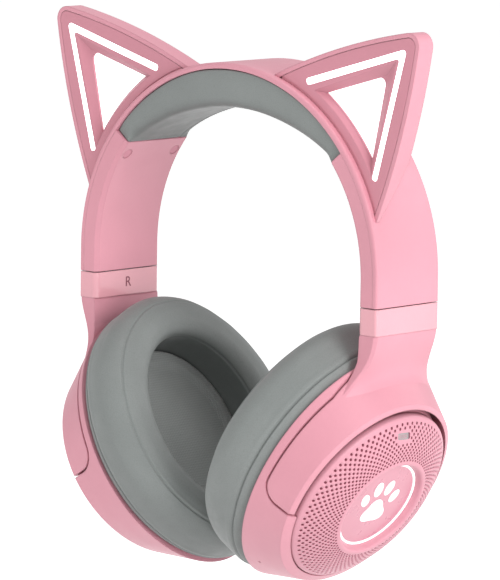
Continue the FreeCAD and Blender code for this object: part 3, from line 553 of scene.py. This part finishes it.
# ------------------------------------------------------------------ status window: slotted lens with a dark end
def status_plate():
    verts, faces, idx = [], [], []
    nx, ny, hx, hy = 40, 8, 2.9, 1.2
    rows = []
    for i in range(nx + 1):
        u = -1 + 2 * i / nx
        lim = hy * (1 - abs(u) ** 7) ** 0.22 if abs(u) < 1 else 0.35
        lim = max(lim, 0.35)
        col = []
        for j in range(ny + 1):
            x, y = -1.7 + hx * u, 27.3 + lim * (-1 + 2 * j / ny)
            rim = j in (0, ny) or i in (0, nx)
            slot = 4 <= i <= 29 and (i // 2) % 2 == 0 and 1 < j < ny - 1
            lift = -0.35 if rim else (-0.02 if slot else 0.1)
            verts.append(cup_point(x, y, dome(math.hypot(x, y)) + lift, 1.0))
            col.append(len(verts) - 1)
        rows.append(col)
    for i in range(nx):
        for j in range(ny):
            faces.append((rows[i][j], rows[i + 1][j], rows[i + 1][j + 1], rows[i][j + 1]))
            slot = 4 <= i <= 29 and (i // 2) % 2 == 0 and 1 < j < ny - 2
            idx.append(1 if i >= 33 else (2 if slot else 0))
    ob = new_mesh("status_window_lens", verts, faces, [window_mat, window_end_mat, window_slot_mat], idx)
    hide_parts("status_window")
    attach(ob, "cup_left")


window_end_mat = plastic("window_end", (0.16, 0.05, 0.07), 0.3, bevel=0.0)
window_slot_mat = plastic("window_slot", (0.20, 0.19, 0.19), 0.35, bevel=0.0)
status_plate()


# ------------------------------------------------------------------ soft fillet between each ear and the band
def ear_fillet(side, sg):
    verts, faces = [], []
    prof = [(66.7, -11.6), (66.7, -12.75), (67.1, -12.95), (67.6, -13.05), (68.0, -12.9), (68.0, -11.6)]
    n = 60
    for i in range(n + 1):
        a = math.radians(19.5 + (70.5 - 19.5) * i / n)
        for r, y in prof:
            verts.append(Vector((sg * r * math.sin(a), y, BAND_C + r * math.cos(a))) * MM)
    m = len(prof)
    for i in range(n):
        for j in range(m):
            k = (j + 1) % m
            faces.append((i * m + j, i * m + k, (i + 1) * m + k, (i + 1) * m + j))
    faces.append(tuple(range(m)))
    faces.append(tuple(n * m + j for j in reversed(range(m))))
    ob = new_mesh("cat_ear_fillet_" + side, verts, faces, [shell_mat], flip=sg < 0)
    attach(ob, "headband")


for side, sg in SIDES:
    ear_fillet(side, sg)


# ------------------------------------------------------------------ side marks
def mark(letter, sg, side):
    cu = bpy.data.curves.new("side_mark_" + letter, "FONT")
    cu.body = letter
    cu.size = 4.9 * MM
    cu.extrude = 0.03 * MM
    cu.align_x = "CENTER"
    cu.align_y = "CENTER"
    tmp = bpy.data.objects.new("tmp_mark", cu)
    scene.collection.objects.link(tmp)
    me = bpy.data.meshes.new_from_object(tmp.evaluated_get(bpy.context.evaluated_depsgraph_get()))
    bpy.data.objects.remove(tmp)
    x = Vector((0, -sg, 0))
    m = Matrix((x, Vector((0, 0, 1)), Vector((-sg, 0, 0)))).transposed().to_4x4()
    m.translation = Vector((sg * (58.9 - 0.02) * MM, 0, (-4.6 - RISE) * MM))
    me.transform(m)
    me.materials.clear()
    me.materials.append(ink_mat)
    ob = bpy.data.objects.new("side_mark_" + letter, me)
    scene.collection.objects.link(ob)
    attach(ob, "yoke_%s_body" % side)


ink_mat = plastic("mark_ink", (0.25, 0.07, 0.10), 0.6, bevel=0.0)
mark("R", -1.0, "right")
mark("L", 1.0, "left")


# ------------------------------------------------------------------ soft pieces
def tube_grid(name, rings, closed, mats, pick):
    """mesh from rings of points; closed joins the last ring to the first, else the ends are left open"""
    verts = [v for r in rings for v in r]
    n = len(rings[0])
    faces, idx = [], []
    m = len(rings)
    for i in range(m if closed else m - 1):
        a, b = i * n, ((i + 1) % m) * n
        for j in range(n):
            k = (j + 1) % n
            faces.append((a + j, b + j, b + k, a + k))
            idx.append(pick(j))
    return verts, faces, idx


def smoothstep(a, b, x):
    t = max(0.0, min(1.0, (x - a) / (b - a)))
    return t * t * (3 - 2 * t)


# cushion section, in mm: across from the opening's wall (0) to the outer wall (13.9), and depth
CREST = -39.2
BASE = -17.35


def cushion_section():
    pts = []

    def arc(c, r, a0, a1, n):
        for i in range(n):
            a = math.radians(a0 + (a1 - a0) * i / n)
            pts.append((c[0] + r[0] * math.cos(a), c[1] + r[1] * math.sin(a)))

    w = 13.9
    for i in range(12):
        k = i / 12
        pts.append((w - 1.9 * (1 - smoothstep(0, 0.3, k)) + 0.45 * math.sin(math.pi * k), BASE - k * 11.4))
    arc((w - 8.2, BASE - 11.4), (8.2, 10.45), 0, -90, 16)
    arc((4.1, -35.1), (4.1, 4.1), -90, -180, 11)
    for i in range(9):
        k = i / 9
        pts.append((0.9 * math.sin(math.pi * k), -35.1 + k * 15.7))
    pts.extend([(0.3, -19.0), (2.5, -18.95), (5.5, -18.95), (7.8, -18.95), (9.0, -18.9), (9.3, -18.2), (9.5, -17.4), (10.8, -17.33)])
    return pts


def inner_size(h):
    k = smoothstep(0.2, 0.85, (BASE - h) / 22.0)
    return 27.4 - 1.5 * k, 31.0 - 0.6 * k


def inflate(ob, held, pressure, cap, frames, stiff=22.0):
    """cover blown up over the foam as cloth, applied to the mesh, no vertex moving more than the cap"""
    keep = [v.co.copy() for v in ob.data.vertices]
    g = ob.vertex_groups.new(name="held")
    g.add(list(held), 1.0, "REPLACE")
    md = ob.modifiers.new("cloth", "CLOTH")
    st = md.settings
    st.quality = 5
    st.mass = 0.2
    st.tension_stiffness = stiff
    st.compression_stiffness = 14.0
    st.shear_stiffness = 6.0
    st.bending_stiffness = 0.4
    st.use_pressure = True
    st.uniform_pressure_force = pressure
    st.vertex_group_mass = "held"
    st.effector_weights.gravity = 0.0
    md.collision_settings.use_collision = False
    md.point_cache.frame_start = 1
    md.point_cache.frame_end = frames
    for f in range(1, frames + 1):
        scene.frame_set(f)
    apply_all(ob)
    ob.vertex_groups.clear()
    for v, b in zip(ob.data.vertices, keep):
        d = v.co - b
        if d.length > cap:
            v.co = b + d.normalized() * cap
    ob.data.update()
    scene.frame_set(1)


def dip(d, width):
    return math.exp(-(d / width) ** 2)


def ear_cushion(side, sg):
    sec = cushion_section()
    m = 132
    rings = []
    for i in range(m):
        a = 2 * math.pi * i / m
        ca, sa = math.cos(a), math.sin(a)
        ring = []
        for w, h in sec:
            ix, iv = inner_size(h)
            k = (h - BASE) / (CREST - BASE)
            ox = 38.6 + 2.9 * smoothstep(0.0, 0.6, k)
            ov = 45.0 + (2.2 if sa > 0 else 0.3) * smoothstep(0.15, 0.9, k) * sa * sa
            p = Vector((ix * ca, iv * sa)).lerp(Vector((ox * ca, ov * sa)), w / 13.9)
            ring.append(cup_point(p.x, p.y, h, sg))
        rings.append(ring)
    verts, faces, idx = tube_grid("c", rings, True, None, lambda j: 0)
    ob = new_mesh("ear_cushion_pad_" + side, verts, faces, [leather_mat], flip=sg > 0)
    n = len(sec)
    inflate(ob, [i * n + j for i in range(m) for j in range(n) if sec[j][1] > -19.2], 3.0, 0.0009, 14)
    sub = ob.modifiers.new("fine", "SUBSURF")
    sub.levels = sub.render_levels = 2
    apply_all(ob)
    # seams and faint gathers, in the cup frame
    inv = CUP_C * MM
    for v in ob.data.vertices:
        p = Vector((sg * v.co.x, v.co.y, v.co.z)) - inv
        x, y, z = p.y / MM, (p.x * ST + p.z * CT) / MM, (p.x * CT - p.z * ST) / MM
        r = math.hypot(x, y)
        ca, sa = x / r, y / r
        ix, iv = inner_size(z)
        t = r - 1.0 / math.sqrt((ca / ix) ** 2 + (sa / iv) ** 2)
        out = Vector((ca, sa, 0))
        move = Vector((0, 0, 0))
        if t > 8:
            # seam 3 mm from the housing, with fine gathers on both sides of it
            g = 0.5 + 0.5 * math.sin(math.atan2(y / 45.0, x / 40.0) * 150.0)
            move -= out * (0.9 * dip(z + 21.0, 0.32) + 0.06 * g * dip(z + 21.0, 1.6))
            move += out * 0.16 * dip(z + 22.6, 0.9)
        # shoulder seam between the side wall and the face
        if z < -28:
            lean = math.atan2(-(z + 28.75) / 10.45, (t - 5.7) / 8.2)
            d = (lean - math.radians(48)) * 9.0
            into = Vector((ca * -0.6, sa * -0.6, 0.8))
            move += into * (0.4 * dip(d, 0.28)) - into * (0.12 * dip(d - 0.8, 0.5))
        # inner seam just below the opening's edge
        if t < 4 and z < -26:
            move += out * 0.8 * dip(z + 34.4, 0.42)
        q = noise.noise(Vector((x, y, z)) * 0.055) * 0.22 + noise.noise(Vector((x + 40, y, z)) * 0.16) * 0.07
        move += Vector((ca, sa, -0.4)) * q
        w = cup_point(x + move.x, y + move.y, z + move.z, sg)
        # the foam pressed flat where the two cushions lean on each other
        gap = sg * w.x / MM
        if gap < 2.6:
            w.x = sg * (0.8 + 1.8 * math.exp((gap - 2.6) / 1.8)) * MM
        v.co = w
    ob.data.update()
    ob.data.polygons.foreach_set("use_smooth", [True] * len(ob.data.polygons))
    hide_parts("ear_cushion_" + side)
    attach(ob, "cup_" + side)
    return ob


for side, sg in SIDES:
    ear_cushion(side, sg)


# speaker cloth: slightly slack knit disc inside the cushion
def speaker_cloth(side, sg):
    verts, faces = [], []
    n, m = 96, 40
    verts.append(cup_point(0, 0, -20.1, sg))
    for i in range(1, m + 1):
        k = i / m
        h = -20.1 - 1.5 * smoothstep(0.80, 0.90, k) + 0.3 * k * k - 0.08 * math.cos(k * 9)
        for j in range(n):
            a = 2 * math.pi * j / n
            verts.append(cup_point(27.2 * k * math.cos(a), 30.7 * k * math.sin(a), h, sg))
    for j in range(n):
        faces.append((0, 1 + (j + 1) % n, 1 + j))
    for i in range(m - 1):
        a, b = 1 + i * n, 1 + (i + 1) * n
        for j in range(n):
            k = (j + 1) % n
            faces.append((a + j, a + k, b + k, b + j))
    ob = new_mesh("speaker_cloth_knit_" + side, verts, faces, [cloth_mat], flip=sg < 0)
    s = ob.modifiers.new("thick", "SOLIDIFY")
    s.thickness = 0.0004
    s.offset = 0
    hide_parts("speaker_cloth_" + side)
    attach(ob, "cup_" + side)


for side, sg in SIDES:
    speaker_cloth(side, sg)

# crown pad
PAD_C, PAD_R = -19.5 - RISE, 79.8


def pad_ring(k):
    ang = math.radians(50.6 * k)
    drop = BAND_C - PAD_C
    low_radius = min(58.85, math.sqrt(PAD_R ** 2 - (drop * math.sin(ang)) ** 2) - drop * math.cos(ang))
    hi = Vector((64.75 * math.sin(ang), BAND_C + 64.75 * math.cos(ang)))
    lo = Vector((low_radius * math.sin(ang), BAND_C + low_radius * math.cos(ang)))
    up_dir = (hi - lo).normalized()
    depth = (hi - lo).length
    end = smoothstep(0.93, 1.0, abs(k))
    low_r = min(3.4, 0.5 * depth) * (1 - end) + 0.7 * end
    hw = 14.9 - 0.4 * end
    half = []
    for i in range(10):
        half.append(((hw - low_r) * i / 10, 0.0))
    for i in range(9):
        a = math.radians(-90 + 90 * i / 8)
        half.append((hw - low_r + low_r * math.cos(a), low_r + low_r * math.sin(a)))
    for i in range(1, 8):
        half.append((hw, low_r + (depth - low_r - 0.35) * i / 8))
    for i in range(4):
        a = math.radians(90 * i / 3)
        half.append((hw - 0.35 + 0.35 * math.cos(a), depth - 0.35 + 0.35 * math.sin(a)))
    for i in range(1, 7):
        half.append(((hw - 0.35) * (1 - i / 6), depth))
    loop = half + [(-y, d) for y, d in reversed(half[1:-1])]
    pts = []
    for y, d in loop:
        sag = 0.5 * (1 - (y / 15.0) ** 2) * (1 - d / depth) * (1 - end)
        p = lo + up_dir * (d - sag)
        pts.append(Vector((p.x, y, p.y)) * MM)
    return pts


def crown_pad():
    ks = [-1 + 2 * i / 64 for i in range(65)]
    ks = [-1, -0.996] + ks[1:-1] + [0.996, 1]
    rings = [pad_ring(k) for k in ks]
    m, n = len(rings), len(rings[0])
    verts, faces, idx = tube_grid("p", rings, False, None, lambda j: 0)
    for e, base in ((0, 0), (1, (m - 1) * n)):
        mid = sum((verts[base + j] for j in range(n)), Vector()) / n
        ins = len(verts)
        verts.extend([verts[base + j].lerp(mid, 0.12) for j in range(n)])
        for j in range(n):
            faces.append((base + j, base + (j + 1) % n, ins + (j + 1) % n, ins + j))
        faces.append(tuple(ins + j for j in range(n)))
    ob = new_mesh("crown_pad_cushion", verts, faces, [leather_mat])
    bm = bmesh.new()
    bm.from_mesh(ob.data)
    bmesh.ops.recalc_face_normals(bm, faces=bm.faces)
    bm.to_mesh(ob.data)
    bm.free()
    held = [v.index for v in ob.data.vertices
            if math.hypot(v.co.x, v.co.z - BAND_C * MM) / MM > 64.0 or abs(math.degrees(math.atan2(v.co.x, v.co.z - BAND_C * MM))) > 49.0]
    inflate(ob, held, 3.0, 0.0006, 12, 20.0)
    sub = ob.modifiers.new("fine", "SUBSURF")
    sub.levels = sub.render_levels = 2
    apply_all(ob)
    for v in ob.data.vertices:
        x, y, z = v.co.x / MM, v.co.y / MM, v.co.z / MM
        under = math.hypot(x, z - PAD_C) < PAD_R + 1.5
        q = noise.noise(Vector((x, y, z)) * 0.06) * 0.15
        if under:
            # seam along the rear edge of the underside
            q += 0.28 * dip(y - 10.6, 0.4)
        v.co.z += q * MM
        v.co.y = max(-15.0, min(15.0, y)) * MM
    ob.data.polygons.foreach_set("use_smooth", [True] * len(ob.data.polygons))
    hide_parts("crown_pad")
    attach(ob, "headband")


crown_pad()

# ------------------------------------------------------------------ floor
low = cad_box[0][2] - 0.10
fm = Nodes("floor_paper")
fm.link(fm.ramp(fm.noise(3.0, 2.0), [(0.3, (0.93, 0.93, 0.93)), (0.7, (0.95, 0.95, 0.95))]), fm.b.inputs["Base Color"])
fm.b.inputs["Roughness"].default_value = 0.9
fm.b.inputs["Emission Color"].default_value = (1, 1, 1, 1)
fm.b.inputs["Emission Strength"].default_value = 0.5
floor = new_mesh("floor", [(-20, -20, low), (20, -20, low), (20, 20, low), (-20, 20, low)], [(0, 1, 2, 3)], [fm.mat], smooth=False)
